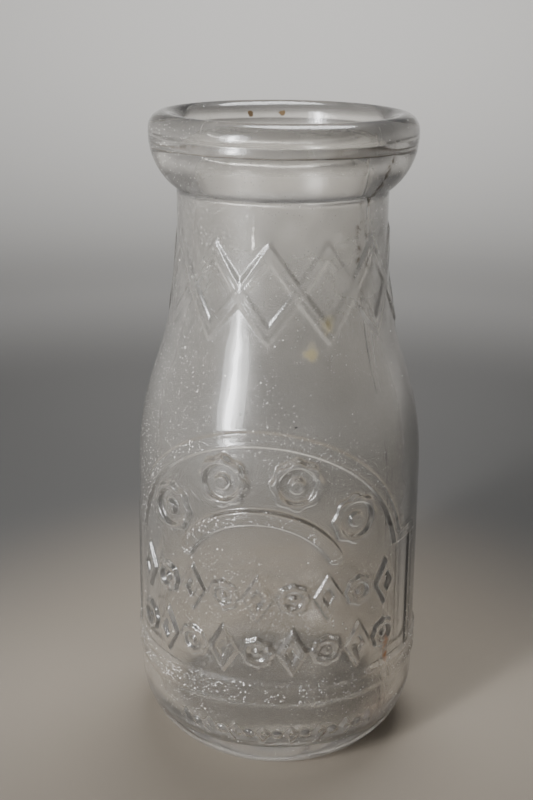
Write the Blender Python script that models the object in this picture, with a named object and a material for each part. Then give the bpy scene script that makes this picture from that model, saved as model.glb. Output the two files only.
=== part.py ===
"""Half-pint glass milk bottle with a paper-cap finish, modelled as the one blown piece that it is.

Metres, +Z up. The bottle stands on z = 0 with its axis on Z, and its moulded panel faces -Y.
The body of revolution is spun from one closed outline of the glass wall. The mould's relief,
which is a lattice round the neck, a framed panel and rows of ornaments, is joined to its skin.
"""

from math import acos, asin, atan2, cos, hypot, pi, radians, sin, sqrt

import bmesh
import bpy

# Overall sizes
HEIGHT = 0.1400
BODY_DIAMETER = 0.0630  # at the top of the straight body
BODY_DRAFT = 0.0008  # how much wider the straight body is at its foot
NECK_DIAMETER = 0.0446
WALL = 0.0036

# Foot and heel
BEARING_RING = 0.0013  # width of the flat ring that the bottle stands on
PUSH_UP = 0.0022
HEEL_HEIGHT = 0.0140
HEEL_ROUND = 0.0180
FLOOR_THICKNESS = 0.0058
FLOOR_CROWN = 0.0010
INNER_HEEL_ROUND = 0.0070

# Contact band above the heel
BAND_LOW = 0.0186
BAND_WIDTH = 0.0062
BAND_RELIEF = 0.0005
BAND_CHAMFER = 0.0005

# Shoulder and neck
SHOULDER_ROUND = 0.0680
NECK_SWEEP = 0.0920
NECK_LENGTH = 0.0082

# Collar and lip
COLLAR_DIAMETER = 0.0560
COLLAR_ROUND = 0.0135
COLLAR_LEDGE = 0.0004
LIP_ROUND = 0.0033  # of both the lip's rounds, where its glass is thick enough for them
LIP_BAND = 0.0012  # straight part of the lip between the parting line and its round
PARTING_GROOVE = 0.0002

# Seat of the paper cap
SEAT_DIAMETER = 0.0416
SEAT_DEPTH = 0.0066
SEAT_LEDGE = 0.0019
SEAT_EDGE = 0.0003
SEAT_WALL = 0.0006  # straight wall above the ledge, before the mouth opens out
MOUTH_FLARE = 0.0006  # how much wider the mouth is than the seat, on each side

# Lattice round the shoulder
LATTICE_CROSSINGS = 12
LATTICE_HEIGHT = 0.0165
LATTICE_DROP = 0.0098  # from the collar's ledge down to the lattice's upper points
LATTICE_RIB = 0.0023
LATTICE_RELIEF = 0.0004
LATTICE_WEAVE = 0.0001  # how much prouder one zigzag of ribs stands than the other
LATTICE_TURN = radians(8)

# Moulded panel
PANEL_TURN = radians(-8)
PANEL_GAP = 0.0182  # between the top of the panel's arch and the lattice's lower points
PANEL_FRAME = 0.0030
PANEL_STEP = 0.0070  # how far the frame's legs stand outside its arch
PANEL_RELIEF = 0.0005
ARCH_SHARE = 0.65  # the arch's radius, as a share of the panel's height
LEG_SHARE = 0.25  # height of the legs' tops above the arch's centre, as a share of its radius
BAR_SHARE = 0.51  # radius of the bar under the arch, as a share of the arch's
BAR_WIDTH = 0.0032
BAR_SWEEP = radians(61)  # half of the angle that the bar spans

# Ornaments of the panel, whose size follows from the room that a row of them has
ORNAMENT_GAP = 0.0010
ORNAMENT_RELIEF = 0.0005
ARCH_ORNAMENTS = 4
ARCH_ORNAMENT_STEP = radians(34)
ROW_ORNAMENTS = 9
ROW_DROP = 1.15  # from one row down to the next, in heights of an ornament
LOZENGE_WIDTH = 0.58  # as a share of its height
ROW_FLOWER = 0.64  # size of a flower in a row, as a share of a lozenge's height
PETALS = 8
PETAL_NOTCH = 0.72  # how far out the notches between a flower's petals lie

# Mesh
SEGMENTS = 54
MERGE_DISTANCE = 1e-6
RELIEF_DRAFT = 0.0004  # how much a relief's edges slope in towards its top, on each side
RELIEF_ROOT = 0.0009  # how deep a relief is sunk in the wall that it is joined to

GLASS_COLOUR = (0.80, 0.81, 0.77, 1.0)
GLASS_ROUGHNESS = 0.08
GLASS_IOR = 1.52

# Heights and radii that follow from the sizes above
body_radius = BODY_DIAMETER / 2
foot_body_radius = (BODY_DIAMETER + BODY_DRAFT) / 2
neck_radius = NECK_DIAMETER / 2
collar_radius = COLLAR_DIAMETER / 2
seat_radius = SEAT_DIAMETER / 2
mouth_radius = seat_radius + MOUTH_FLARE
bore_radius = neck_radius - WALL
band_high = BAND_LOW + BAND_WIDTH
lip_round = min(LIP_ROUND, (collar_radius - mouth_radius) / 2)
lip_centre = HEIGHT - lip_round
parting_height = lip_centre - LIP_BAND
collar_reach = collar_radius - COLLAR_ROUND
ledge_height = parting_height - sqrt(COLLAR_ROUND**2 - (neck_radius + COLLAR_LEDGE - collar_reach) ** 2)
neck_height = ledge_height - NECK_LENGTH
sweep_angle = acos(1 - (body_radius - neck_radius) / (SHOULDER_ROUND + NECK_SWEEP))
shoulder_height = neck_height - (SHOULDER_ROUND + NECK_SWEEP) * sin(sweep_angle)
lattice_high = ledge_height - LATTICE_DROP
lattice_low = lattice_high - LATTICE_HEIGHT
panel_low = band_high
panel_height = lattice_low - PANEL_GAP - panel_low
arch_radius = panel_height * ARCH_SHARE
arch_centre = panel_low + panel_height - arch_radius
row_pitch = 2 * (arch_radius - PANEL_FRAME) / ROW_ORNAMENTS
ornament_height = (row_pitch - ORNAMENT_GAP) / LOZENGE_WIDTH


def arc(centre, radius, start, end, steps):
    """Points of a round stretch of the outline, as radius and height, both ends included."""
    points = []
    for step in range(steps + 1):
        angle = start + (end - start) * step / steps
        points.append((centre[0] + radius * cos(angle), centre[1] + radius * sin(angle)))
    return points


def dome(rim_radius, rim_height, rise, steps):
    """A shallow round from its rim in to the axis, without the rim's own point."""
    round_radius = (rim_radius**2 + rise**2) / (2 * rise)
    spread = asin(rim_radius / round_radius)
    centre = (0.0, rim_height + rise - round_radius)
    points = arc(centre, round_radius, pi / 2 - spread, pi / 2, steps)[1:]
    points[-1] = (0.0, rim_height + rise)
    return points


def outside_outline():
    """The outer skin, from the middle of the underside up to the lip's outer side."""
    heel_centre = (foot_body_radius - HEEL_ROUND, HEEL_HEIGHT)
    heel_start = -asin(HEEL_HEIGHT / HEEL_ROUND)
    heel = arc(heel_centre, HEEL_ROUND, heel_start, 0.0, 5)
    ring_inner = heel[0][0] - BEARING_RING
    outline = list(reversed(dome(ring_inner, 0.0, PUSH_UP, 3)))
    outline.append((ring_inner, 0.0))
    outline += heel
    band_radius = foot_body_radius + BAND_RELIEF
    outline.append((foot_body_radius, BAND_LOW))
    outline.append((band_radius, BAND_LOW + BAND_CHAMFER))
    outline.append((band_radius, band_high - BAND_CHAMFER))
    outline.append((foot_body_radius, band_high))
    outline += arc((body_radius - SHOULDER_ROUND, shoulder_height), SHOULDER_ROUND, 0.0, sweep_angle, 5)
    sweep_centre = (neck_radius + NECK_SWEEP, neck_height)
    outline += arc(sweep_centre, NECK_SWEEP, pi + sweep_angle, pi, 6)[1:]
    outline.append((neck_radius, ledge_height))
    collar_start = atan2(ledge_height - parting_height, neck_radius + COLLAR_LEDGE - collar_reach)
    outline += arc((collar_reach, parting_height), COLLAR_ROUND, collar_start, 0.0, 6)
    outline.append((collar_radius - PARTING_GROOVE, parting_height + PARTING_GROOVE))
    outline.append((collar_radius, parting_height + 2 * PARTING_GROOVE))
    return outline


def inside_outline():
    """The inner skin, from the lip's outer side over its top and down to the middle of the floor."""
    outline = arc((collar_radius - lip_round, lip_centre), lip_round, 0.0, pi / 2, 4)
    inner_round = arc((mouth_radius + lip_round, lip_centre), lip_round, pi / 2, pi, 4)
    outline += [point for point in inner_round if point[0] < outline[4][0] - MERGE_DISTANCE]
    seat_height = HEIGHT - SEAT_DEPTH
    ledge_radius = seat_radius - SEAT_LEDGE
    throat_height = seat_height - SEAT_EDGE - max(0.0, bore_radius - ledge_radius)
    outline.append((seat_radius, seat_height + SEAT_WALL))
    outline.append((seat_radius, seat_height))
    outline.append((ledge_radius, seat_height))
    outline.append((bore_radius, throat_height))
    sweep_centre = (neck_radius + NECK_SWEEP, neck_height)
    outline += arc(sweep_centre, NECK_SWEEP + WALL, pi, pi + sweep_angle, 6)
    shoulder_centre = (body_radius - SHOULDER_ROUND, shoulder_height)
    outline += arc(shoulder_centre, SHOULDER_ROUND - WALL, sweep_angle, 0.0, 4)[1:]
    corner = (foot_body_radius - WALL - INNER_HEEL_ROUND, FLOOR_THICKNESS + INNER_HEEL_ROUND)
    outline += arc(corner, INNER_HEEL_ROUND, 0.0, -pi / 2, 4)
    outline += dome(corner[0], FLOOR_THICKNESS, FLOOR_CROWN, 2)
    return outline


def skin_radius(height):
    """Radius of the plain outer skin at a height between the heel and the collar."""
    if height <= HEEL_HEIGHT:
        return foot_body_radius - HEEL_ROUND + sqrt(HEEL_ROUND**2 - (HEEL_HEIGHT - height) ** 2)
    if height <= shoulder_height:
        share = max(0.0, height - band_high) / (shoulder_height - band_high)
        return foot_body_radius + (body_radius - foot_body_radius) * share
    if height <= shoulder_height + SHOULDER_ROUND * sin(sweep_angle):
        climb = height - shoulder_height
        return body_radius - SHOULDER_ROUND + sqrt(SHOULDER_ROUND**2 - climb**2)
    if height <= neck_height:
        return neck_radius + NECK_SWEEP - sqrt(NECK_SWEEP**2 - (neck_height - height) ** 2)
    return neck_radius


def on_skin(across, height, lift, turn, girth=body_radius):
    """A point lifted off the skin, placed by its height and its distance round the given girth radius."""
    angle = turn + across / girth - pi / 2
    radius = skin_radius(height) + lift
    return (radius * cos(angle), radius * sin(angle), height)


def glass_material():
    material = bpy.data.materials.new("milk_bottle_glass")
    material.use_nodes = True
    shader = material.node_tree.nodes["Principled BSDF"]
    shader.inputs["Base Color"].default_value = GLASS_COLOUR
    shader.inputs["Roughness"].default_value = GLASS_ROUGHNESS
    shader.inputs["Metallic"].default_value = 0.0
    shader.inputs["IOR"].default_value = GLASS_IOR
    shader.inputs["Transmission Weight"].default_value = 1.0
    return material


def add_object(name, mesh_builder):
    """Turn a bmesh into a named object with its faces pointing out."""
    bmesh.ops.recalc_face_normals(mesh_builder, faces=mesh_builder.faces)
    mesh = bpy.data.meshes.new(name)
    mesh_builder.to_mesh(mesh)
    mesh_builder.free()
    piece = bpy.data.objects.new(name, mesh)
    bpy.context.scene.collection.objects.link(piece)
    return piece


def spin_bottle():
    """Spin the wall's closed outline into the bottle's glass."""
    builder = bmesh.new()
    outline = outside_outline() + inside_outline()
    corners = [builder.verts.new((radius, 0.0, height)) for radius, height in outline]
    edges = [builder.edges.new(pair) for pair in zip(corners, corners[1:])]
    bmesh.ops.spin(
        builder,
        geom=corners + edges,
        cent=(0.0, 0.0, 0.0),
        axis=(0.0, 0.0, 1.0),
        angle=2 * pi,
        steps=SEGMENTS,
        use_duplicate=False,
    )
    bmesh.ops.remove_doubles(builder, verts=builder.verts, dist=MERGE_DISTANCE)
    return add_object("bottle", builder)


def ridge(builder, path, width, relief, turn, closed=False, girth=body_radius):
    """A raised rib with sloping edges along a path of (across, height) points on the skin."""
    count = len(path)
    root = -RELIEF_ROOT - relief
    rings = []
    for index, (across, height) in enumerate(path):
        before = path[index - 1] if index or closed else path[index]
        after = path[(index + 1) % count] if index + 1 < count or closed else path[index]
        lap = 2 * pi * girth if closed else 0.0
        step_in = (across - before[0] + (lap if closed and index == 0 else 0.0), height - before[1])
        step_out = (after[0] - across + (lap if closed and index + 1 == count else 0.0), after[1] - height)
        step_in = step_in if hypot(*step_in) else step_out
        step_out = step_out if hypot(*step_out) else step_in
        side_in = (-step_in[1] / hypot(*step_in), step_in[0] / hypot(*step_in))
        side_out = (-step_out[1] / hypot(*step_out), step_out[0] / hypot(*step_out))
        mitre = (side_in[0] + side_out[0], side_in[1] + side_out[1])
        stretch = 2 / (mitre[0] ** 2 + mitre[1] ** 2)
        ring = []
        for reach, lift in (
            (-width / 2, root),
            (width / 2, root),
            (width / 2 - RELIEF_DRAFT, relief),
            (RELIEF_DRAFT - width / 2, relief),
        ):
            spot = (across + mitre[0] * stretch * reach, height + mitre[1] * stretch * reach)
            ring.append(builder.verts.new(on_skin(spot[0], spot[1], lift, turn, girth)))
        rings.append(ring)
    joins = list(zip(rings, rings[1:]))
    if closed:
        joins.append((rings[-1], rings[0]))
    for ring, following in joins:
        for side in range(4):
            other = (side + 1) % 4
            builder.faces.new((ring[side], ring[other], following[other], following[side]))
    if not closed:
        builder.faces.new(rings[0])
        builder.faces.new(rings[-1])


def boss(builder, outline, centre, relief, turn):
    """A raised ornament with sloping edges from an outline of (across, height) points."""
    top = []
    root = []
    for across, height in outline:
        inset = 1 - RELIEF_DRAFT / hypot(across, height)
        high = (centre[0] + across * inset, centre[1] + height * inset)
        top.append(builder.verts.new(on_skin(high[0], high[1], relief, turn)))
        root.append(builder.verts.new(on_skin(centre[0] + across, centre[1] + height, -RELIEF_ROOT, turn)))
    crown = builder.verts.new(on_skin(centre[0], centre[1], relief, turn))
    bottom = builder.verts.new(on_skin(centre[0], centre[1], -RELIEF_ROOT, turn))
    count = len(outline)
    for index in range(count):
        other = (index + 1) % count
        builder.faces.new((root[index], root[other], top[other], top[index]))
        builder.faces.new((top[index], top[other], crown))
        builder.faces.new((root[other], root[index], bottom))


def lattice(first_up):
    """One of the two zigzag ribs that cross each other round the shoulder."""
    builder = bmesh.new()
    girth = skin_radius((lattice_low + lattice_high) / 2)
    pitch = 2 * pi * girth / LATTICE_CROSSINGS
    relief = LATTICE_RELIEF + (LATTICE_WEAVE if first_up else 0.0)
    steps = 4
    path = []
    for crossing in range(LATTICE_CROSSINGS):
        rising = (crossing % 2 == 0) == first_up
        for step in range(steps):
            share = step / steps
            height = lattice_low + LATTICE_HEIGHT * (share if rising else 1 - share)
            path.append((pitch * (crossing - 0.5 + share), height))
    ridge(builder, path, LATTICE_RIB, relief, LATTICE_TURN, closed=True, girth=girth)
    return add_object("lattice_rising" if first_up else "lattice_falling", builder)


def arch_path(radius, half_angle, steps):
    """Points over the panel's arch, left to right, as distance round the body and height."""
    points = []
    for step in range(steps + 1):
        angle = pi / 2 + half_angle - 2 * half_angle * step / steps
        points.append((radius * cos(angle), arch_centre + radius * sin(angle)))
    return points


def panel_frame():
    """The panel's raised border: an arch whose legs step out and run down to the contact band."""
    builder = bmesh.new()
    radius = arch_radius - PANEL_FRAME / 2
    leg_rise = arch_radius * LEG_SHARE
    arch = arch_path(radius, acos(leg_rise / radius), 18)
    leg = arch[-1][0] + PANEL_STEP
    shoulder = arch_centre + leg_rise
    middle = (panel_low + shoulder) / 2
    path = [(-leg, panel_low), (-leg, middle), (-leg, shoulder)]
    path += arch
    path += [(leg, shoulder), (leg, middle), (leg, panel_low)]
    ridge(builder, path, PANEL_FRAME, PANEL_RELIEF, PANEL_TURN)
    return add_object("panel_frame", builder)


def flower_outline(size):
    """A round flower outline: petals whose tips and notches take turns round a circle."""
    points = []
    for index in range(2 * PETALS):
        reach = size / 2 if index % 2 == 0 else size / 2 * PETAL_NOTCH
        angle = pi / 2 + pi * index / PETALS
        points.append((reach * cos(angle), reach * sin(angle)))
    return points


def lozenge_outline(size):
    """A standing lozenge, a little narrower than it is high."""
    reach = size * LOZENGE_WIDTH / 2
    return [(0.0, size / 2), (-reach, 0.0), (0.0, -size / 2), (reach, 0.0)]


def ornaments():
    """The bar and flowers under the arch, and the two rows of lozenges and flowers below them."""
    builder = bmesh.new()
    bar = arch_path(arch_radius * BAR_SHARE, BAR_SWEEP, 10)
    ridge(builder, bar, BAR_WIDTH, PANEL_RELIEF, PANEL_TURN)
    bar_edge = arch_radius * BAR_SHARE + BAR_WIDTH / 2
    flower_radius = (bar_edge + arch_radius - PANEL_FRAME) / 2
    for index in range(ARCH_ORNAMENTS):
        angle = pi / 2 + ARCH_ORNAMENT_STEP * ((ARCH_ORNAMENTS - 1) / 2 - index)
        centre = (flower_radius * cos(angle), arch_centre + flower_radius * sin(angle))
        boss(builder, flower_outline(ornament_height), centre, ORNAMENT_RELIEF, PANEL_TURN)
    for row in range(2):
        row_height = arch_centre - row * ROW_DROP * ornament_height
        for index in range(ROW_ORNAMENTS):
            centre = (row_pitch * (index - (ROW_ORNAMENTS - 1) / 2), row_height)
            if (index + row) % 2:
                outline = flower_outline(ornament_height * ROW_FLOWER)
            else:
                outline = lozenge_outline(ornament_height)
            boss(builder, outline, centre, ORNAMENT_RELIEF, PANEL_TURN)
    return add_object("panel_ornaments", builder)


def join_relief(bottle, relief):
    """Join a relief to the glass, and keep the relief itself out of the model."""
    relief.hide_render = True
    relief.display_type = "WIRE"
    union = bottle.modifiers.new(relief.name, "BOOLEAN")
    union.operation = "UNION"
    union.solver = "EXACT"
    union.object = relief


def main():
    for leftover in list(bpy.data.objects):
        bpy.data.objects.remove(leftover, do_unlink=True)
    bottle = spin_bottle()
    bottle.data.materials.append(glass_material())
    bottle.data.shade_smooth()
    bottle.data.set_sharp_from_angle(angle=radians(35))
    for relief in (lattice(True), lattice(False), panel_frame(), ornaments()):
        join_relief(bottle, relief)


main()
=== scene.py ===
from math import acos, asin, atan2, ceil, cos, hypot, pi, radians, sin, sqrt
from random import Random

import bmesh
import bpy
import numpy as np
from mathutils import Matrix, Vector, noise


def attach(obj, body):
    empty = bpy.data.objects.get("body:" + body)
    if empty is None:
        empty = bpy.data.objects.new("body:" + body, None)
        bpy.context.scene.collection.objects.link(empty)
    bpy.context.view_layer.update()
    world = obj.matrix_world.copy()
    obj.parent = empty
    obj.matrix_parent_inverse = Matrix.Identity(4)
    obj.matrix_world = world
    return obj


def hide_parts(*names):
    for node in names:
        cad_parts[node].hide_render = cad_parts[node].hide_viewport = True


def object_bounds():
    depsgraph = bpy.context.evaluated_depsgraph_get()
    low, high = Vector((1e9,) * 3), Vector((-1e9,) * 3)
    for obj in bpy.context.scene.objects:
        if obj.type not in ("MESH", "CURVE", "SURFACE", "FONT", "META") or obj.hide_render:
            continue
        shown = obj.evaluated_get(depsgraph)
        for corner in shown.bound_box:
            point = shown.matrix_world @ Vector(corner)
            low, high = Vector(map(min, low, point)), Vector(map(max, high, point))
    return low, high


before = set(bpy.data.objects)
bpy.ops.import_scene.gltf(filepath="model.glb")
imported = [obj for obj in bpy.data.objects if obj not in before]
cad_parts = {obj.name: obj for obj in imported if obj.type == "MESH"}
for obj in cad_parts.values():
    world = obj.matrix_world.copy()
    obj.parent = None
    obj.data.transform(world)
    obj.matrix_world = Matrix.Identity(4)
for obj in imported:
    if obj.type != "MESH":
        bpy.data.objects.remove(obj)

cad_low, cad_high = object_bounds()
cad_size = cad_high - cad_low


# Camera: close in front of the bottle and a little above its mouth, looking down at it,
# so the near lip looks wide and the heel looks narrow.
CAMERA_PLACE = Vector((-0.0030, -0.2526, 0.1646))
CAMERA_DOWN = radians(19.13)
CAMERA_ROLL = radians(0.57)
CAMERA_LENS = 54

camera_data = bpy.data.cameras.new("camera")
camera_data.lens = CAMERA_LENS
camera_data.sensor_width = 36
camera_data.clip_start = 0.01
camera = bpy.data.objects.new("camera", camera_data)
bpy.context.scene.collection.objects.link(camera)
look_down = Matrix.Rotation(pi / 2 - CAMERA_DOWN, 4, "X")
camera.matrix_world = Matrix.Translation(CAMERA_PLACE) @ look_down @ Matrix.Rotation(CAMERA_ROLL, 4, "Z")
bpy.context.scene.camera = camera


# The blown glass: one gather of clear soda glass, pressed at the lip and blown into an iron mould.
# Its wall is a closed outline from the middle of the underside, up the outside, over the lip
# and down the inside to the middle of the floor, turned once round the axis.
HEIGHT = cad_size.z
BAND_RELIEF = 0.0005
FOOT_BODY_RADIUS = min(cad_size.x, cad_size.y) / 2 - BAND_RELIEF
NECK_RADIUS = 0.0223
WALL = 0.0036
PUSH_UP = 0.0022
BEARING_RING = 0.0013
HEEL_HEIGHT = 0.0140
HEEL_ROUND = 0.0180
FLOOR_THICKNESS = 0.0058
FLOOR_CROWN = 0.0010
INNER_HEEL_ROUND = 0.0070
BAND_LOW = 0.0186
BAND_HIGH = 0.0248
BAND_DISH = 0.0002      # how far the band's middle lies back from its two edges
BAND_STEPS = 8
BODY_TAPER = 0.0004     # how much smaller the body's radius is under the shoulder than at the band
SHOULDER_ROUND = 0.0680
NECK_SWEEP = 0.0920
NECK_LENGTH = 0.0082
COLLAR_RADIUS = 0.0280
COLLAR_ROUND = 0.0135
COLLAR_LEDGE = 0.0004
LIP_ROUND = 0.0033
LIP_PITCH = LIP_ROUND / 6
LIP_BAND = 0.0012
PARTING_GROOVE = 0.0002
SEAT_RADIUS = 0.0208
SEAT_HEIGHT = HEIGHT - 0.0066
SEAT_LEDGE = 0.0019
MOUTH_FLARE = 0.0006
TURN_STEPS = 120
OUTER_PITCH = 0.0016
INNER_PITCH = 0.0026
MERGE_REACH = 1e-6

BODY_RADIUS = FOOT_BODY_RADIUS - BODY_TAPER
lip_centre = HEIGHT - LIP_ROUND
parting_height = lip_centre - LIP_BAND
collar_reach = COLLAR_RADIUS - COLLAR_ROUND
ledge_rise = sqrt(COLLAR_ROUND**2 - (NECK_RADIUS + COLLAR_LEDGE - collar_reach) ** 2)
ledge_height = parting_height - ledge_rise
neck_height = ledge_height - NECK_LENGTH
sweep_angle = acos(1 - (BODY_RADIUS - NECK_RADIUS) / (SHOULDER_ROUND + NECK_SWEEP))
shoulder_height = neck_height - (SHOULDER_ROUND + NECK_SWEEP) * sin(sweep_angle)


def arc(centre, radius, start, end, pitch):
    """Points of a round stretch of the outline, as radius and height."""
    steps = max(2, ceil(radius * abs(end - start) / pitch))
    angles = [start + (end - start) * step / steps for step in range(steps + 1)]
    return [(centre[0] + radius * cos(angle), centre[1] + radius * sin(angle)) for angle in angles]


def straight(start, end, pitch):
    """Points of a straight stretch of the outline, without its first."""
    length = sqrt((end[0] - start[0]) ** 2 + (end[1] - start[1]) ** 2)
    steps = max(1, ceil(length / pitch))
    shares = [step / steps for step in range(1, steps + 1)]
    return [(start[0] + (end[0] - start[0]) * s, start[1] + (end[1] - start[1]) * s) for s in shares]


def dome(rim_radius, rim_height, rise, pitch):
    """A shallow round from its rim in to the axis."""
    radius = (rim_radius**2 + rise**2) / (2 * rise)
    spread = asin(rim_radius / radius)
    points = arc((0.0, rim_height + rise - radius), radius, pi / 2 - spread, pi / 2, pitch)
    points[-1] = (0.0, rim_height + rise)
    return points


heel_centre = (FOOT_BODY_RADIUS - HEEL_ROUND, HEEL_HEIGHT)
heel = arc(heel_centre, HEEL_ROUND, -asin(HEEL_HEIGHT / HEEL_ROUND), 0.0, OUTER_PITCH)
ring_inner = heel[0][0] - BEARING_RING
outline = list(reversed(dome(ring_inner, 0.0, PUSH_UP, INNER_PITCH)))
outline += heel
outline += straight(outline[-1], (FOOT_BODY_RADIUS, BAND_LOW), OUTER_PITCH)
for place in (1, 2, 3, 5, 6, 7):
    relief = BAND_RELIEF - BAND_DISH if place in (3, 5) else BAND_RELIEF
    outline.append((FOOT_BODY_RADIUS + relief, BAND_LOW + place * (BAND_HIGH - BAND_LOW) / BAND_STEPS))
outline.append((FOOT_BODY_RADIUS, BAND_HIGH))
outline += straight(outline[-1], (BODY_RADIUS, shoulder_height), OUTER_PITCH)
shoulder_centre = (BODY_RADIUS - SHOULDER_ROUND, shoulder_height)
sweep_centre = (NECK_RADIUS + NECK_SWEEP, neck_height)
outline += arc(shoulder_centre, SHOULDER_ROUND, 0.0, sweep_angle, OUTER_PITCH)[1:]
outline += arc(sweep_centre, NECK_SWEEP, pi + sweep_angle, pi, OUTER_PITCH)[1:]
outline += straight(outline[-1], (NECK_RADIUS, ledge_height), OUTER_PITCH)
collar_start = -atan2(ledge_rise, NECK_RADIUS + COLLAR_LEDGE - collar_reach)
outline += arc((collar_reach, parting_height), COLLAR_ROUND, collar_start, 0.0, OUTER_PITCH)
outline.append((COLLAR_RADIUS - PARTING_GROOVE, parting_height + PARTING_GROOVE))
outline.append((COLLAR_RADIUS, parting_height + 2 * PARTING_GROOVE))
outline += arc((COLLAR_RADIUS - LIP_ROUND, lip_centre), LIP_ROUND, 0.0, pi, LIP_PITCH)
outline.append((SEAT_RADIUS, SEAT_HEIGHT + MOUTH_FLARE))
outline += straight(outline[-1], (SEAT_RADIUS, SEAT_HEIGHT), OUTER_PITCH)
outline.append((SEAT_RADIUS - SEAT_LEDGE, SEAT_HEIGHT))
outline.append((NECK_RADIUS - WALL, SEAT_HEIGHT - PARTING_GROOVE))
outline += straight(outline[-1], (NECK_RADIUS - WALL, neck_height), INNER_PITCH)
outline += arc(sweep_centre, NECK_SWEEP + WALL, pi, pi + sweep_angle, INNER_PITCH)[1:]
outline += arc(shoulder_centre, SHOULDER_ROUND - WALL, sweep_angle, 0.0, INNER_PITCH)[1:]
inner_heel = (FOOT_BODY_RADIUS - WALL - INNER_HEEL_ROUND, FLOOR_THICKNESS + INNER_HEEL_ROUND)
outline += straight(outline[-1], (inner_heel[0] + INNER_HEEL_ROUND, inner_heel[1]), INNER_PITCH)
outline += arc(inner_heel, INNER_HEEL_ROUND, 0.0, -pi / 2, OUTER_PITCH)[1:]
outline += dome(inner_heel[0], FLOOR_THICKNESS, FLOOR_CROWN, INNER_PITCH)[1:]

bpy.ops.object.select_all(action="DESELECT")
bpy.ops.mesh.primitive_plane_add(size=WALL)
bottle = bpy.context.object
bottle.name = "milk_bottle_glass"
bpy.ops.object.mode_set(mode="EDIT")
bpy.ops.mesh.select_mode(type="VERT")
bpy.ops.mesh.select_all(action="SELECT")
bpy.ops.mesh.merge(type="CENTER")
bpy.ops.transform.translate(value=(outline[0][0], 0.0, outline[0][1]))
for before, after in zip(outline, outline[1:]):
    step = (after[0] - before[0], 0.0, after[1] - before[1])
    bpy.ops.mesh.extrude_vertices_move(TRANSFORM_OT_translate={"value": step})
bpy.ops.mesh.select_all(action="SELECT")
bpy.ops.mesh.spin(steps=TURN_STEPS, angle=2 * pi, center=(0.0, 0.0, 0.0), axis=(0.0, 0.0, 1.0))
bpy.ops.mesh.select_all(action="SELECT")
bpy.ops.mesh.remove_doubles(threshold=MERGE_REACH)
bpy.ops.mesh.normals_make_consistent(inside=False)
bpy.ops.object.mode_set(mode="OBJECT")


# Relief of the mould: the iron mould is cut with a lattice, a framed panel and rows of ornaments,
# and the glass takes them up as low, soft-edged ridges. The skin is divided finely where they lie,
# and then raised by how far each point lies from the ridge's edge.
PANEL_TURN = radians(-8)
PANEL_LOW = BAND_HIGH
LATTICE_DROP = 0.0098
LATTICE_HEIGHT = 0.0165
PANEL_GAP = 0.0182
ARCH_SHARE = 0.65
LEG_SHARE = 0.25
SKIN_LOW = 0.001        # the relief keeps off the bearing ring, the ledge and the band's edges
SKIN_DROP = 0.0004
BAND_CLEAR = 0.0001

lattice_high = ledge_height - LATTICE_DROP
lattice_low = lattice_high - LATTICE_HEIGHT
panel_height = lattice_low - PANEL_GAP - PANEL_LOW
panel_top = PANEL_LOW + panel_height
arch_radius = panel_height * ARCH_SHARE
arch_centre = panel_top - arch_radius
leg_rise = arch_radius * LEG_SHARE


def skin_radius(height):
    """Radius of the plain outer skin, at each of an array of heights between heel and collar."""
    share = np.clip((height - BAND_HIGH) / (shoulder_height - BAND_HIGH), 0, 1)
    body = FOOT_BODY_RADIUS + (BODY_RADIUS - FOOT_BODY_RADIUS) * share
    below = np.clip(HEEL_HEIGHT - height, 0, HEEL_ROUND)
    heel_skin = heel_centre[0] + np.sqrt(HEEL_ROUND**2 - below**2)
    climb = np.clip(height - shoulder_height, 0, SHOULDER_ROUND * sin(sweep_angle))
    shoulder = shoulder_centre[0] + np.sqrt(SHOULDER_ROUND**2 - climb**2)
    drop = np.clip(neck_height - height, 0, NECK_SWEEP * sin(sweep_angle))
    sweep = sweep_centre[0] - np.sqrt(NECK_SWEEP**2 - drop**2)
    sweep_low = neck_height - NECK_SWEEP * sin(sweep_angle)
    return np.select(
        [height < HEEL_HEIGHT, height < shoulder_height, height < sweep_low],
        [heel_skin, body, shoulder],
        sweep,
    )


def divide(cuts, low, high, turn, reach, ring=(0.0, 1.0)):
    """Cut up the outer skin's faces between two heights, within an angle of a turn round the axis
    and within a ring round the arch's centre."""
    mesh = bmesh.from_edit_mesh(bottle.data)
    for face in mesh.faces:
        spot = face.calc_center_median()
        angle = (atan2(spot.x, -spot.y) - turn + pi) % (2 * pi) - pi
        outside = face.normal.x * spot.x + face.normal.y * spot.y > 0
        in_ring = ring[0] < hypot(angle * BODY_RADIUS, spot.z - arch_centre) < ring[1]
        face.select_set(outside and low < spot.z < high and abs(angle) < reach and in_ring)
    mesh.select_flush_mode()
    bmesh.update_edit_mesh(bottle.data)
    bpy.ops.mesh.subdivide(number_cuts=cuts)


# How finely the skin is cut, and where: the whole panel once, its rows, arch and legs once more,
# the lattice, and the heel's row.
PANEL_CUTS = 2
DRAWING_CUTS = 1
LATTICE_CUTS = 2
HEEL_CUTS = 4
PANEL_REACH = radians(78)
ROWS_REACH = radians(61)
ROWS_LOW = PANEL_LOW + 0.0010
ROWS_TOP = PANEL_LOW + 0.0250
ARCH_RING = (0.0150, arch_radius + 0.0006)
LEG_TURN = radians(71.5)
LEG_REACH = radians(6.2)
LEG_TOP = arch_centre + leg_rise + 0.0024
LATTICE_CUT_LOW = lattice_low - 0.0024
LATTICE_CUT_TOP = lattice_high + 0.0020
HEEL_CUT_LOW = 0.0080
HEEL_CUT_TOP = 0.0148
HEEL_REACH = radians(45)

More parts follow.
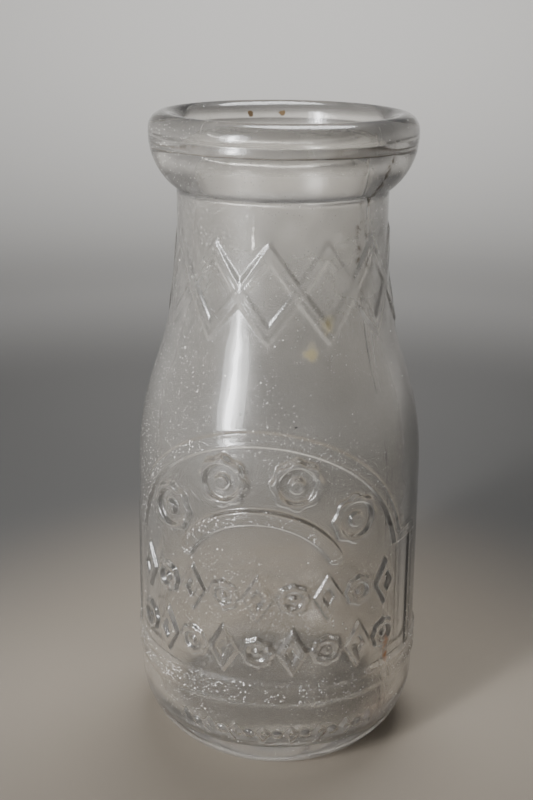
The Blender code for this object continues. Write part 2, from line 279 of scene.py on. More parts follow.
bpy.ops.object.mode_set(mode="EDIT")
bpy.ops.mesh.select_mode(type="FACE")
divide(PANEL_CUTS, PANEL_LOW, panel_top + OUTER_PITCH, PANEL_TURN, PANEL_REACH)
divide(DRAWING_CUTS, ROWS_LOW, ROWS_TOP, PANEL_TURN, ROWS_REACH)
divide(DRAWING_CUTS, ROWS_TOP, panel_top + OUTER_PITCH / 2, PANEL_TURN, PANEL_REACH, ARCH_RING)
for side in (-1, 1):
    divide(DRAWING_CUTS, PANEL_LOW, LEG_TOP, PANEL_TURN + side * LEG_TURN, LEG_REACH)
divide(LATTICE_CUTS, LATTICE_CUT_LOW, LATTICE_CUT_TOP, 0.0, pi)
divide(HEEL_CUTS, HEEL_CUT_LOW, HEEL_CUT_TOP, 0.0, HEEL_REACH)
bpy.ops.object.mode_set(mode="OBJECT")

points = np.empty(len(bottle.data.vertices) * 3)
bottle.data.vertices.foreach_get("co", points)
points = points.reshape(-1, 3)
turn = np.arctan2(points[:, 0], -points[:, 1])
height = points[:, 2]
girth = np.hypot(points[:, 0], points[:, 1])
plain = skin_radius(height)
on_skin = (girth > plain - WALL / 2) & (height > SKIN_LOW) & (height < ledge_height - SKIN_DROP)
on_skin &= (height < BAND_LOW - BAND_CLEAR) | (height > BAND_HIGH + BAND_CLEAR)
relief = np.zeros(len(points))


def soft_edge(distance, slope):
    """1 inside an outline and 0 outside it, with a soft step as wide as the slope on the line itself."""
    share = np.clip(0.5 - distance / slope, 0, 1)
    return share * share * (3 - 2 * share)


def groove(distance, width):
    """1 on a line and 0 away from it."""
    return np.exp(-((distance / width) ** 2))


# Lattice round the shoulder: two zigzag ribs that cross each other twelve times. Each rib is a flat
# strip with a fine bead along both edges, and a small knob marks each crossing.
LATTICE_TURN = radians(8)
LATTICE_CROSSINGS = 12
LATTICE_RIB = 0.0023
LATTICE_RELIEF = 0.00028
LATTICE_BEAD = 0.00014
LATTICE_SLOPE = 0.0005
BEAD_INSET = 0.0004     # from a rib's or a border's edge to the middle of its bead
BEAD_WIDTH = 0.0003
KNOB_RELIEF = 0.00015
KNOB_RADIUS = 0.0007
KNOB_SLOPE = 0.0006

lattice_middle = (lattice_low + lattice_high) / 2
crossing_pitch = 2 * pi / LATTICE_CROSSINGS
lattice_girth = float(skin_radius(np.array([lattice_middle]))[0])
rib_lean = cos(atan2(LATTICE_HEIGHT, crossing_pitch * lattice_girth))
steps_round = (turn - LATTICE_TURN) / crossing_pitch
wave = 2 * np.abs((steps_round - 0.5) % 2 - 1) - 1
for side in (-1, 1):
    across = np.abs(height - lattice_middle - side * wave * LATTICE_HEIGHT / 2) * rib_lean
    rib = LATTICE_RELIEF * soft_edge(across - LATTICE_RIB / 2, LATTICE_SLOPE)
    rib += LATTICE_BEAD * groove(across - LATTICE_RIB / 2 + BEAD_INSET, BEAD_WIDTH)
    relief = np.maximum(relief, np.where(np.abs(height - lattice_middle) < LATTICE_HEIGHT, rib, 0))
from_crossing = np.hypot(
    ((steps_round + 0.5) % 1 - 0.5) * crossing_pitch * girth,
    height - lattice_middle,
)
relief += KNOB_RELIEF * soft_edge(from_crossing - KNOB_RADIUS, KNOB_SLOPE)


# Panel frame: a flat raised border. It arches over the panel, steps out on both sides and runs
# down to the contact band. A bead runs along both of its edges, and the legs are worn lower.
PANEL_FRAME = 0.0030
PANEL_STEP = 0.0070
FRAME_RELIEF = 0.00036
FRAME_BEAD = 0.00014
FRAME_SLOPE = 0.0006
LEG_WEAR = 0.4
FAR_AWAY = 1.0          # farther than any point is from a line

across = ((turn - PANEL_TURN + pi) % (2 * pi) - pi) * BODY_RADIUS
above = height - arch_centre
from_centre = np.hypot(across, above)
frame_radius = arch_radius - PANEL_FRAME / 2
arch_end = sqrt(frame_radius**2 - leg_rise**2)
leg = arch_end + PANEL_STEP
arch_line = np.where(above > leg_rise - PANEL_FRAME / 2, np.abs(from_centre - frame_radius), FAR_AWAY)
rung_reach = np.maximum(np.abs(np.abs(across) - (arch_end + leg) / 2) - PANEL_STEP / 2, 0)
rung_line = np.hypot(rung_reach, above - leg_rise)
leg_line = np.hypot(np.abs(across) - leg, np.maximum(above - leg_rise, 0))
frame_line = np.minimum(np.minimum(arch_line, rung_line), leg_line)
border = FRAME_RELIEF * soft_edge(frame_line - PANEL_FRAME / 2, FRAME_SLOPE)
border += FRAME_BEAD * groove(frame_line - PANEL_FRAME / 2 + BEAD_INSET, BEAD_WIDTH)
border *= 1 - LEG_WEAR * soft_edge(leg - PANEL_FRAME - np.abs(across), PANEL_FRAME)
in_panel = (height > PANEL_LOW) & (height < panel_top + PANEL_FRAME)
relief = np.maximum(relief, np.where(in_panel, border, 0))


# Panel ornaments: a rounded bar under the arch with four flowers over it, and two rows of
# lozenges and flowers, all drawn in one broad flat stroke. They are the deepest cuts in the mould,
# and they all stand out as far as the contact band does.
BAR_SHARE = 0.51
BAR_WIDTH = 0.0032
BAR_SWEEP = radians(61)
ORNAMENT_GAP = 0.0010
ORNAMENT_STROKE = 0.0017
ORNAMENT_SLOPE = 0.0007
ARCH_ORNAMENTS = 4
ARCH_ORNAMENT_STEP = radians(34)
ROW_ORNAMENTS = 9
ROW_DROP = 1.15
LOZENGE_WIDTH = 0.58
ROW_FLOWER = 0.64
PETALS = 8
PETAL_DEPTH = 0.05      # half the way from a petal's tip to the notch beside it, as a share of the radius
FLOWER_DOT = 0.42       # radius of the dot in a flower's middle, as a share of the hollow's

row_pitch = 2 * (arch_radius - PANEL_FRAME) / ROW_ORNAMENTS
ornament_height = (row_pitch - ORNAMENT_GAP) / LOZENGE_WIDTH
bar_radius = arch_radius * BAR_SHARE
flower_radius = (bar_radius + BAR_WIDTH / 2 + arch_radius - PANEL_FRAME) / 2


def flower(offset, rise, size):
    """1 on a flower's ring of petals and on the dot in its middle, 0 around and between them."""
    reach = np.hypot(offset, rise)
    around = np.arctan2(offset, rise)
    petals = size / 2 * (1 - PETAL_DEPTH + PETAL_DEPTH * np.cos(PETALS * around))
    hollow = size / 2 - ORNAMENT_STROKE
    ring = soft_edge(reach - petals, ORNAMENT_SLOPE) * soft_edge(hollow - reach, ORNAMENT_SLOPE)
    return np.maximum(ring, soft_edge(reach - hollow * FLOWER_DOT, ORNAMENT_SLOPE))


def lozenge(offset, rise, size, stroke):
    """1 on a standing lozenge's outline stroke and 0 on both sides of it."""
    half_width = size * LOZENGE_WIDTH / 2
    half_height = size / 2
    lean = half_width * half_height / sqrt(half_width**2 + half_height**2)
    inside = (np.abs(offset) / half_width + np.abs(rise) / half_height - 1) * lean
    return soft_edge(inside, ORNAMENT_SLOPE) * soft_edge(-inside - stroke, ORNAMENT_SLOPE)


bar_angle = np.clip(np.arctan2(across, above), -BAR_SWEEP, BAR_SWEEP)
from_bar = np.hypot(across - bar_radius * np.sin(bar_angle), above - bar_radius * np.cos(bar_angle))
bar = soft_edge(from_bar - BAR_WIDTH / 2, ORNAMENT_SLOPE)
raised = bar
for index in range(ARCH_ORNAMENTS):
    angle = ARCH_ORNAMENT_STEP * (index - (ARCH_ORNAMENTS - 1) / 2)
    offset = across - flower_radius * sin(angle)
    rise = above - flower_radius * cos(angle)
    raised = np.maximum(raised, flower(offset, rise, ornament_height))
for row in range(2):
    for index in range(ROW_ORNAMENTS):
        offset = across - row_pitch * (index - (ROW_ORNAMENTS - 1) / 2)
        rise = above + row * ROW_DROP * ornament_height
        if (index + row) % 2:
            ornament = flower(offset, rise, ornament_height * ROW_FLOWER)
        else:
            ornament = lozenge(offset, rise, ornament_height, ORNAMENT_STROKE)
        raised = np.maximum(raised, ornament)
ornament_relief = FOOT_BODY_RADIUS + BAND_RELIEF - plain
relief = np.maximum(relief, np.where(in_panel, raised * ornament_relief, 0))


# Heel row: small lozenges and dots on the round of the heel, where a maker's line sits. They were
# cut shallow in the mould's bottom plate, and the bottle's crate has worn them low.
HEEL_ROW_HEIGHT = 0.0115
HEEL_ROW_SIZE = 0.0042
HEEL_ROW_RELIEF = 0.00045
HEEL_ROW_STROKE = 0.0009
HEEL_ROW_PITCH = radians(5.6)
HEEL_ROW_MARKS = 15
HEEL_DOT_RADIUS = 0.0008
HEEL_DOT_SLOPE = 0.0006
HEEL_ROW_TOP = HEEL_HEIGHT + 0.001

for index in range(HEEL_ROW_MARKS):
    offset = (turn - HEEL_ROW_PITCH * (index - (HEEL_ROW_MARKS - 1) / 2)) * FOOT_BODY_RADIUS
    rise = height - HEEL_ROW_HEIGHT
    if index % 2:
        mark = soft_edge(np.hypot(offset, rise) - HEEL_DOT_RADIUS, HEEL_DOT_SLOPE)
    else:
        mark = lozenge(offset, rise, HEEL_ROW_SIZE, HEEL_ROW_STROKE)
    relief = np.maximum(relief, np.where(height < HEEL_ROW_TOP, HEEL_ROW_RELIEF * mark, 0))


# The inner skin was blown and never touched the mould, so it waves a little, and the wall is
# nowhere quite as thick as beside it.
WAVE_DEPTH = 0.00016
WAVE_SCALE = 90
WAVE_STRETCH = 2.0      # how much longer a wave is up the wall than round it
STILL_FLOOR = 0.0005    # the floor, the neck's top and the axis keep their place
STILL_NECK = 0.002
STILL_AXIS = 0.004

proud = plain + relief
scale = np.where(on_skin, proud / np.maximum(girth, MERGE_REACH), 1.0)
inner = (girth < plain - WALL / 2) & (height > FLOOR_THICKNESS + STILL_FLOOR)
inner &= height < SEAT_HEIGHT - STILL_NECK
for index in np.flatnonzero(inner & (girth > STILL_AXIS)):
    spot = Vector(points[index]) * WAVE_SCALE
    spot.z /= WAVE_STRETCH
    scale[index] = 1 + WAVE_DEPTH * noise.noise(spot) / girth[index]
points[:, 0] *= scale
points[:, 1] *= scale
bottle.data.vertices.foreach_set("co", points.ravel())
bottle.data.update()
bottle.data.shade_smooth()


def paint(name, amount):
    """Keep a number from 0 to 1 on every point of the glass, for its material to read."""
    layer = bottle.data.attributes.new(name, "FLOAT", "POINT")
    layer.data.foreach_set("value", np.clip(amount, 0, 1))


# What stands proud gets rubbed in the crate: the band and the bar most, then the frame, then the
# ornaments. The inside and the cap seat are kept apart, because they are duller than the outside.
FRAME_RUB = 0.6
ORNAMENT_RUB = 0.3
BAND_RUB_SLOPE = 0.001
SEAT_INNER = SEAT_RADIUS - SEAT_LEDGE - 0.0002
SEAT_OUTER = SEAT_RADIUS + 0.0004

from_band = np.abs(height - (BAND_LOW + BAND_HIGH) / 2) - (BAND_HIGH - BAND_LOW) / 2
band_rub = soft_edge(from_band, BAND_RUB_SLOPE)
frame_rub = FRAME_RUB * soft_edge(frame_line - PANEL_FRAME / 2, FRAME_SLOPE)
panel_rub = np.where(in_panel, np.maximum(np.maximum(frame_rub, bar), raised * ORNAMENT_RUB), 0)
paint("rub", np.where(on_skin, panel_rub, 0) + np.where(girth > FOOT_BODY_RADIUS, band_rub, 0))
in_seat = (girth > SEAT_INNER) & (girth < SEAT_OUTER)
paint("inside", np.where(inner | in_seat, 1.0, 0.0))


# Seed bubbles: small pockets of air that the glass kept, drawn out upwards as it was blown.
# Each is a closed hollow inside the wall, a third of the way in, with its skin facing its air.
SEEDS = 16
SEED_LARGE = (radians(-30.9), 0.0811, 0.00045)      # turn, height and radius
SEED_LOW = 0.030
SEED_RADII = (0.00010, 0.00026)
SEED_DEPTH = WALL / 3
SEED_STRETCH = 1.9
SEED_SEGMENTS = 12
SEED_RINGS = 8

chance = Random(11)
seeds = [SEED_LARGE]
for index in range(SEEDS):
    seed_turn = chance.uniform(-pi, pi)
    seed_height = chance.uniform(SEED_LOW, ledge_height)
    seeds.append((seed_turn, seed_height, chance.uniform(*SEED_RADII)))
hollows = bmesh.new()
for seed_turn, seed_height, seed_radius in seeds:
    reach = float(skin_radius(np.array([seed_height]))[0]) - SEED_DEPTH
    spot = (reach * sin(seed_turn), -reach * cos(seed_turn), seed_height)
    shape = Matrix.Translation(spot) @ Matrix.Diagonal((1.0, 1.0, SEED_STRETCH, 1.0))
    counts = {"u_segments": SEED_SEGMENTS, "v_segments": SEED_RINGS}
    bmesh.ops.create_uvsphere(hollows, **counts, radius=seed_radius, matrix=shape)
bmesh.ops.reverse_faces(hollows, faces=hollows.faces)
seed_mesh = bpy.data.meshes.new("seed_bubbles")
hollows.to_mesh(seed_mesh)
hollows.free()
seed_mesh.shade_smooth()
seed_bubbles = bpy.data.objects.new("seed_bubbles", seed_mesh)
bpy.context.scene.collection.objects.link(seed_bubbles)
bpy.ops.object.select_all(action="DESELECT")
seed_bubbles.select_set(True)
bottle.select_set(True)
bpy.context.view_layer.objects.active = bottle
bpy.ops.object.join()


# Worn glass: clear and faintly warm, with dust and a milky film, sparkling case wear on all that
# stands proud, brown dirt in the cap seat and a few rust and yellow stains.
CLEAR_TINT = (0.978, 0.968, 0.940, 1)
COLLAR_TINT = (0.968, 0.952, 0.915, 1)
COLLAR_BLEND = (0.124, 0.129)       # heights between which the clear tint turns into the collar's
DUST_TINT = (0.86, 0.83, 0.78, 1)
GLINT_TINT = (0.97, 0.97, 0.96, 1)
YELLOW_TINT = (0.70, 0.60, 0.34, 1)
RUST_TINT = (0.42, 0.17, 0.04, 1)
LIP_SPOT_TINT = (0.16, 0.11, 0.06, 1)
DIRT_TINT = (0.13, 0.09, 0.05, 1)
SPECK_TINT = (0.02, 0.02, 0.02, 1)
GLASS_ROUGHNESS = 0.05
RAG_SCALE = 600         # how fine the ragged edge of a stain is, in clouds to a metre

glass = bpy.data.materials.new("worn_clear_glass")
glass.use_nodes = True
nodes = glass.node_tree.nodes
links = glass.node_tree.links
shader = nodes["Principled BSDF"]
shader.inputs["IOR"].default_value = 1.52
shader.inputs["Coat Weight"].default_value = 0.5
shader.inputs["Coat Roughness"].default_value = 0.30
place = nodes.new("ShaderNodeTexCoord").outputs["Object"]


def put(socket, value):
    """Link a node's output to a socket, or set the socket to a plain value."""
    if isinstance(value, bpy.types.NodeSocket):
        links.new(value, socket)
    else:
        socket.default_value = value


def calc(operation, first, second=0.0, clamp=False):
    """One step of arithmetic on two numbers or sockets."""
    node = nodes.new("ShaderNodeMath")
    node.operation = operation
    node.use_clamp = clamp
    put(node.inputs[0], first)
    put(node.inputs[1], second)
    return node.outputs[0]


def span(value, low, high, out_low=0.0, out_high=1.0):
    """Map a value's range to another, clamped at both ends."""
    node = nodes.new("ShaderNodeMapRange")
    for socket, given in zip(node.inputs, (value, low, high, out_low, out_high)):
        put(socket, given)
    return node.outputs[0]


def cloud(scale, detail=3.0, rough=0.55):
    """Soft noise with the given number of clouds to a metre."""
    node = nodes.new("ShaderNodeTexNoise")
    put(node.inputs["Vector"], place)
    node.inputs["Scale"].default_value = scale
    node.inputs["Detail"].default_value = detail
    node.inputs["Roughness"].default_value = rough
    return node.outputs["Fac"]


def specks(scale, size, share):
    """Small round specks: cells to a metre, a speck's size in its cell, and the share of cells with one."""
    node = nodes.new("ShaderNodeTexVoronoi")
    put(node.inputs["Vector"], place)
    node.inputs["Scale"].default_value = scale
    kept = nodes.new("ShaderNodeSeparateColor")
    put(kept.inputs[0], node.outputs["Color"])
    spot = span(node.outputs["Distance"], size * 0.5, size, 1.0, 0.0)
    return calc("MULTIPLY", spot, calc("LESS_THAN", kept.outputs[0], share))


def stain(spot, radius, spread, drawn_out=1.0):
    """A ragged spot around a place, its edge strayed by the spread and drawn out up and down by a factor."""
    away = nodes.new("ShaderNodeVectorMath")
    away.operation = "SUBTRACT"
    put(away.inputs[0], place)
    put(away.inputs[1], spot)
    squeezed = nodes.new("ShaderNodeVectorMath")
    squeezed.operation = "MULTIPLY"
    put(squeezed.inputs[0], away.outputs[0])
    put(squeezed.inputs[1], (1.0, 1.0, 1.0 / drawn_out))
    reach = nodes.new("ShaderNodeVectorMath")
    reach.operation = "LENGTH"
    put(reach.inputs[0], squeezed.outputs[0])
    ragged = calc("ADD", reach.outputs["Value"], span(cloud(RAG_SCALE, 4.0), 0.3, 0.7, -spread, spread))
    return span(ragged, radius * 0.3, radius * 1.3, 1.0, 0.0)


def spots(*stains):
    """Several stains as one mask."""
    mask = stain(*stains[0])
    for further in stains[1:]:
        mask = calc("MAXIMUM", mask, stain(*further))
    return mask


def on_wall(turn_degrees, at_height):
    """A place on the outer skin."""
    angle = radians(turn_degrees)
    skin = float(skin_radius(np.array([at_height]))[0])
    return (skin * sin(angle), -skin * cos(angle), at_height)


def blend_colour(amount, base, over):
    """One colour laid over another by the given amount."""
    node = nodes.new("ShaderNodeMix")
    node.data_type = "RGBA"
    put(node.inputs["Factor"], amount)
    put(node.inputs["A"], base)
    put(node.inputs["B"], over)
    return node.outputs["Result"]


def painted(name):
    """A number that was kept on the glass's points."""
    node = nodes.new("ShaderNodeAttribute")
    node.attribute_name = name
    return node.outputs["Fac"]


split = nodes.new("ShaderNodeSeparateXYZ")
put(split.inputs[0], place)
at_side, at_depth, at_height = split.outputs
at_girth = calc("SQRT", calc("ADD", calc("POWER", at_side, 2.0), calc("POWER", at_depth, 2.0)))
inside = painted("inside")

# Dust and film: dust all over, more of it on the left as a painted highlight where the light falls from the
# left, and a thicker film on the shoulder.
FILM_HEIGHTS = (0.060, 0.080)
FILM_COVER = (0.045, 0.075)
DUST_SIDES = (-0.020, 0.015)
PAINTED_LIGHT_DUST_SHARES = (1.0, 0.4)
DUST_COVER = 0.85

film = span(cloud(28, 5.0, 0.6), 0.30, 0.72, 0.25, 1.0)
patches = span(cloud(45, 4.0), 0.40, 0.66)
dust = calc("MAXIMUM", specks(700, 0.14, 0.12), calc("MULTIPLY", specks(1700, 0.24, 0.35), patches))
# Painted light: the dust's share runs from full on the left side to less on the right, where less light
# falls.
painted_light_dust_share = span(at_side, *DUST_SIDES, *PAINTED_LIGHT_DUST_SHARES)

# Case wear: glints in patches, wherever the glass is rubbed.
WEAR_PATCHES = 260

glints = calc("MAXIMUM", specks(1500, 0.26, 0.16), specks(2600, 0.34, 0.26))
wear_patches = span(cloud(WEAR_PATCHES, 2.0), 0.40, 0.50)
wear = calc("MULTIPLY", painted("rub"), calc("MULTIPLY", glints, wear_patches))

# Dirt in the corner of the cap seat, a thin line that comes and goes.
SEAT_LINE = (0.00010, 0.00028)      # half the line's height, where it is full and where it ends
SEAT_LINE_INNER = (SEAT_RADIUS - 0.0006, SEAT_RADIUS - 0.0003)
SEAT_LINE_OUTER = SEAT_RADIUS + 0.0005

from_seat = calc("ABSOLUTE", calc("SUBTRACT", at_height, SEAT_HEIGHT))
seat_line = span(from_seat, *SEAT_LINE, 1.0, 0.0)
seat_line = calc("MULTIPLY", seat_line, span(at_girth, *SEAT_LINE_INNER))
seat_line = calc("MULTIPLY", seat_line, calc("LESS_THAN", at_girth, SEAT_LINE_OUTER))
dirt = calc("MULTIPLY", seat_line, span(cloud(160, 4.0, 0.7), 0.25, 0.45))

# Stains and marks, each with its place, radius, spread and how far it is drawn out.
YELLOW_STAINS = ((on_wall(13.9, 0.0952), 0.0018, 0.0008), (on_wall(22.5, 0.1006), 0.0014, 0.0008, 1.5))
RUST_STREAKS = ((on_wall(47, 0.0288), 0.0011, 0.0005, 2.2), (on_wall(48, 0.0252), 0.0010, 0.0005, 1.8))
RUST_BLUSH = (on_wall(44, 0.0120), 0.0050, 0.0030)
LIP_SPOTS = (((-0.0072, 0.0206, 0.1372), 0.0009, 0.0004), ((-0.0004, 0.0218, 0.1374), 0.0008, 0.0004))
SPECK = (on_wall(5.8, 0.0812), 0.00030, 0.0001, 0.5)
SCRATCH = (on_wall(-15.4, 0.1170), 0.00026, 0.00016, 14.0)

yellow = spots(*YELLOW_STAINS)
rust = calc("MAXIMUM", spots(*RUST_STREAKS), calc("MULTIPLY", stain(*RUST_BLUSH), 0.3))
lip_spots = calc("GREATER_THAN", spots(*LIP_SPOTS), 0.4)
speck = calc("GREATER_THAN", stain(*SPECK), 0.45)
scratch = calc("MULTIPLY", stain(*SCRATCH), span(cloud(700, 2.0), 0.40, 0.55))

# Seam: the line where the mould's two halves met, with dirt along it from the shoulder to the collar.
SEAM_TURN = radians(49)
SEAM_WIDTH = (0.0001, 0.0005)       # half widths, where the line is full and where it ends
SEAM_DIRT_WIDTH = (0.0003, 0.0014)
SEAM_DIRT_START = (0.100, 0.106)
SEAM_DIRT_END = (0.132, 0.134)

seam_plane = nodes.new("ShaderNodeVectorMath")
seam_plane.operation = "DOT_PRODUCT"
put(seam_plane.inputs[0], place)
put(seam_plane.inputs[1], (cos(SEAM_TURN), sin(SEAM_TURN), 0.0))
from_seam = calc("ABSOLUTE", seam_plane.outputs["Value"])
seam = span(from_seam, *SEAM_WIDTH, 1.0, 0.0)
seam_dirt = span(from_seam, *SEAM_DIRT_WIDTH, 1.0, 0.0)
seam_dirt = calc("MULTIPLY", seam_dirt, span(cloud(300, 5.0, 0.7), 0.48, 0.60))
seam_dirt = calc("MULTIPLY", seam_dirt, span(at_height, *SEAM_DIRT_START))
seam_dirt = calc("MULTIPLY", seam_dirt, span(at_height, *SEAM_DIRT_END, 1.0, 0.0))

# Colour, cover and gloss: each layer tints the glass, hides some of what lies behind it, or dulls it.
# The inside dulls the neck more than the body.
layers = (
    (calc("MAXIMUM", dust, film), DUST_TINT),
    (wear, GLINT_TINT),
    (yellow, YELLOW_TINT),
    (rust, RUST_TINT),
    (lip_spots, LIP_SPOT_TINT),
    (calc("MAXIMUM", dirt, seam_dirt), DIRT_TINT),
    (speck, SPECK_TINT),
)
tint = blend_colour(span(at_height, *COLLAR_BLEND), CLEAR_TINT, COLLAR_TINT)
for mask, colour in layers:
    tint = blend_colour(mask, tint, colour)
links.new(tint, shader.inputs["Base Color"])

# The dust covers more on the left, painted light from the left side, on top of the real dust all over.
cover = calc("MULTIPLY", dust, calc("MULTIPLY", painted_light_dust_share, DUST_COVER))
cover = calc("ADD", cover, calc("MULTIPLY", film, span(at_height, *FILM_HEIGHTS, *FILM_COVER)))
cover = calc("ADD", cover, wear)
covers = (
    (dirt, 0.97),
    (seam_dirt, 0.55),
    (lip_spots, 0.97),
    (yellow, 0.25),
    (scratch, 0.7),
    (rust, 0.8),
    (speck, 1.0),
)
for mask, amount in covers:
    cover = calc("MAXIMUM", cover, calc("MULTIPLY", mask, amount))
links.new(calc("SUBTRACT", 1.0, cover, clamp=True), shader.inputs["Transmission Weight"])

HAZE_HEIGHTS = (0.080, 0.105)
HAZE_AMOUNTS = (0.06, 0.20)

haze = span(at_height, *HAZE_HEIGHTS, *HAZE_AMOUNTS)
dulls = ((film, 0.04), (calc("MAXIMUM", dust, wear), 0.30), (dirt, 0.4), (inside, haze))
dull = GLASS_ROUGHNESS
for mask, amount in dulls:
    dull = calc("ADD", dull, calc("MULTIPLY", mask, amount), clamp=True)
links.new(dull, shader.inputs["Roughness"])

# Fine relief: chips in the worn places, the seam's step, and a slow ripple all over the skin.
bumps = (               # rise, strength and distance
    (wear, 0.4, 0.00006),
    (calc("MULTIPLY", seam, span(cloud(60), 0.4, 0.6)), 0.5, 0.00012),
    (cloud(130, 1.0), 0.35, 0.0004),
)
normal = None
for rise, strength, reach in bumps:
    bump = nodes.new("ShaderNodeBump")
    bump.inputs["Strength"].default_value = strength
    bump.inputs["Distance"].default_value = reach
    put(bump.inputs["Height"], rise)
    if normal:
        links.new(normal, bump.inputs["Normal"])
    normal = bump.outputs["Normal"]
links.new(normal, shader.inputs["Normal"])

bottle.data.materials.clear()
bottle.data.materials.append(glass)
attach(bottle, "root")
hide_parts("bottle")


# Floor and backdrop: one sweep of painted board that turns up into a pale wall all round. Its tone is
# painted light and shade: a pale pool of painted light round the bottle, dimmer paint in a wide ring round
# it, which gives the clear glass its edges, a brighter band up the wall and painted shade at its top.
SWEEP_REACH = 0.85
SWEEP_BEND = 0.35
SWEEP_TOP = 1.2
SWEEP_STEPS = 96
SWEEP_MERGE = 1e-5
FLAT_PITCH = 0.1
BEND_PITCH = 0.03
# Painted light and shade on the board, by distance from the bottle: a pale pool of light, a dim ring, a lit
# band up the wall and a dark top.
PAINTED_LIGHT_POOL_TONE = (0.26, 0.225, 0.18, 1)
CENTRE_REACH = 0.05
FAR_PAINTED_SHADE_TONE = (0.035, 0.035, 0.04, 1)
PAINTED_LIGHT_TONES = ((0.14, 0.100), (0.26, 0.112), (0.42, 0.24), (0.82, 0.63), (0.90, 0.41))      # reach and tone
TONE_WARMTH = (1.0, 0.97, 0.92)
# Painted shade: the board is painted darker between four bays round the bottle, as soft shadows on the wall.
BAYS = 4
BAY_PAINTED_SHADE = 0.22        # how much darker the board is between its bays, as a share of its tone
BAY_START = 0.25        # how far from the bottle the bays reach their full depth
BAY_BLEND = 0.1

sweep_outline = [(0.0, 0.0)] + straight((0.0, 0.0), (SWEEP_REACH - SWEEP_BEND, 0.0), FLAT_PITCH)
sweep_outline += arc((SWEEP_REACH - SWEEP_BEND, SWEEP_BEND), SWEEP_BEND, -pi / 2, 0.0, BEND_PITCH)[1:]
sweep_outline.append((SWEEP_REACH, SWEEP_TOP))
bpy.ops.object.select_all(action="DESELECT")
bpy.ops.mesh.primitive_plane_add(size=FLAT_PITCH)
backdrop = bpy.context.object
backdrop.name = "backdrop"
bpy.ops.object.mode_set(mode="EDIT")
bpy.ops.mesh.select_mode(type="VERT")
bpy.ops.mesh.select_all(action="SELECT")
bpy.ops.mesh.merge(type="CENTER")
for before, after in zip(sweep_outline, sweep_outline[1:]):
    step = (after[0] - before[0], 0.0, after[1] - before[1])
    bpy.ops.mesh.extrude_vertices_move(TRANSFORM_OT_translate={"value": step})
bpy.ops.mesh.select_all(action="SELECT")
bpy.ops.mesh.spin(steps=SWEEP_STEPS, angle=2 * pi, center=(0.0, 0.0, 0.0), axis=(0.0, 0.0, 1.0))
bpy.ops.mesh.select_all(action="SELECT")
bpy.ops.mesh.remove_doubles(threshold=SWEEP_MERGE)
bpy.ops.mesh.normals_make_consistent(inside=True)
bpy.ops.object.mode_set(mode="OBJECT")
backdrop.data.shade_smooth()
board = bpy.data.materials.new("board_with_painted_light")
board.use_nodes = True
board_shader = board.node_tree.nodes["Principled BSDF"]
board_shader.inputs["Roughness"].default_value = 0.85
board_nodes = board.node_tree.nodes
board_place = board_nodes.new("ShaderNodeTexCoord")
board_reach = board_nodes.new("ShaderNodeVectorMath")
board_reach.operation = "LENGTH"
board_painted_light = board_nodes.new("ShaderNodeValToRGB")
painted_light_ramp = board_painted_light.color_ramp
painted_light_ramp.interpolation = "EASE"
painted_light_ramp.elements[0].position = CENTRE_REACH
painted_light_ramp.elements[0].color = PAINTED_LIGHT_POOL_TONE
painted_light_ramp.elements[1].position = 1.0
painted_light_ramp.elements[1].color = FAR_PAINTED_SHADE_TONE
for reach, tone in PAINTED_LIGHT_TONES:
    painted_light_ramp.elements.new(reach).color = (*[tone * share for share in TONE_WARMTH], 1)


def board_calc(operation, *given):
    """One step of arithmetic in the board's material."""
    node = board_nodes.new("ShaderNodeMath")
    node.operation = operation
    for socket, value in zip(node.inputs, given):
        if isinstance(value, bpy.types.NodeSocket):
            board.node_tree.links.new(value, socket)
        else:
            socket.default_value = value
    return node.outputs[0]


board_split = board_nodes.new("ShaderNodeSeparateXYZ")
board.node_tree.links.new(board_place.outputs["Object"], board_split.inputs[0])
board.node_tree.links.new(board_place.outputs["Object"], board_reach.inputs[0])
board.node_tree.links.new(board_reach.outputs["Value"], board_painted_light.inputs["Fac"])
# Painted shade between the bays, fading in away from the bottle.
bearing = board_calc("ARCTAN2", board_split.outputs[0], board_split.outputs[1])
swell = board_calc("COSINE", board_calc("MULTIPLY", bearing, BAYS))
painted_bay_shade = board_calc("MULTIPLY", board_calc("SUBTRACT", 1.0, swell), BAY_PAINTED_SHADE)
far = board_calc("MULTIPLY", board_reach.outputs["Value"], 1 / BAY_START)
far = board_calc("SMOOTH_MIN", far, 1.0, BAY_BLEND)
board_shade = board_nodes.new("ShaderNodeVectorMath")
board_shade.operation = "SCALE"
board.node_tree.links.new(board_painted_light.outputs["Color"], board_shade.inputs[0])
shade = board_calc("SUBTRACT", 1.0, board_calc("MULTIPLY", painted_bay_shade, far))
board.node_tree.links.new(shade, board_shade.inputs["Scale"])
board.node_tree.links.new(board_shade.outputs[0], board_shader.inputs["Base Color"])
backdrop.data.materials.append(board)


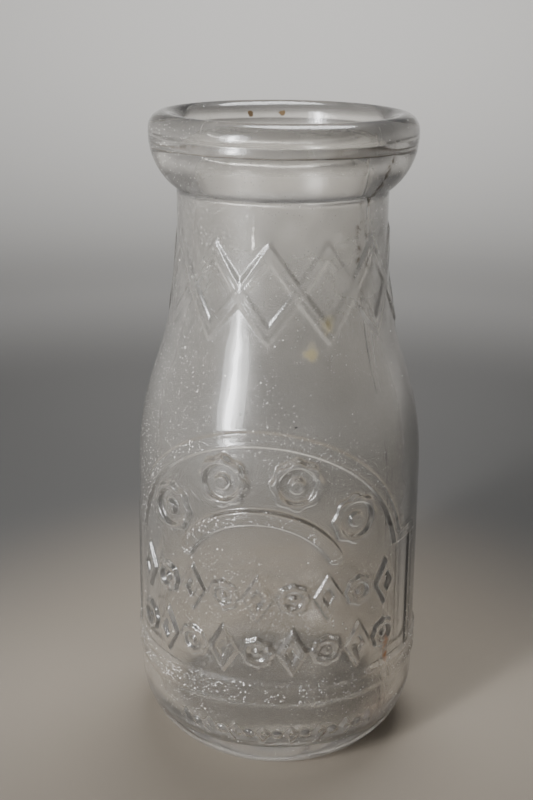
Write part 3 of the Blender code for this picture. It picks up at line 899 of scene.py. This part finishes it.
# Light: a tall soft window at the front left, brightest along its middle, a low lamp from the left
# that only lights the dust on the glass, and a wide soft light overhead for the backdrop.
WINDOW_PLACE = (-0.42, -0.46, 0.28)
WINDOW_AIM = (0, 0, 0.08)
WINDOW_PARTS = (        # name, width, height and watts, from the middle outwards
    ("window_middle", 0.06, 0.38, 2.8),
    ("window", 0.13, 0.46, 2.5),
    ("window_curtain", 0.27, 0.58, 2.4),
)
LAMP_PLACE = (-0.62, -0.30, 0.20)
LAMP_AIM = (0, 0, 0.07)
LAMP_SIZE = (0.12, 0.25)
LAMP_WATTS = 9.0
OVERHEAD_PLACE = (0.1, 0.35, 0.95)
OVERHEAD_AIM = (0, 0.5, 0.0)
OVERHEAD_SIZE = (0.6, 0.6)
OVERHEAD_WATTS = 9.0
DAYLIGHT = (0.97, 0.98, 1.0)
LAMPLIGHT = (1.0, 0.97, 0.92)
ROOM_TONE = (0.55, 0.56, 0.58, 1)
ROOM_STRENGTH = 0.12


def soft_light(name, place, aim, size, watts, colour):
    """An elliptical area light that shines from a place towards its aim."""
    data = bpy.data.lights.new(name, "AREA")
    data.shape = "ELLIPSE"
    data.size, data.size_y = size
    data.energy = watts
    data.color = colour
    light = bpy.data.objects.new(name, data)
    light.location = place
    light.rotation_euler = (Vector(aim) - Vector(place)).to_track_quat("-Z", "Y").to_euler()
    light.visible_camera = False
    bpy.context.scene.collection.objects.link(light)
    return light


for name, width, length, watts in WINDOW_PARTS:
    soft_light(name, WINDOW_PLACE, WINDOW_AIM, (width, length), watts, DAYLIGHT)
low_lamp = soft_light("low_lamp", LAMP_PLACE, LAMP_AIM, LAMP_SIZE, LAMP_WATTS, LAMPLIGHT)
low_lamp.visible_glossy = False
low_lamp.visible_transmission = False
lit_glass = bpy.data.collections.new("lit_glass")
lit_glass.objects.link(bottle)
low_lamp.light_linking.receiver_collection = lit_glass
soft_light("overhead", OVERHEAD_PLACE, OVERHEAD_AIM, OVERHEAD_SIZE, OVERHEAD_WATTS, DAYLIGHT)

world = bpy.data.worlds.new("room")
world.use_nodes = True
world.node_tree.nodes["Background"].inputs["Color"].default_value = ROOM_TONE
world.node_tree.nodes["Background"].inputs["Strength"].default_value = ROOM_STRENGTH
bpy.context.scene.world = world
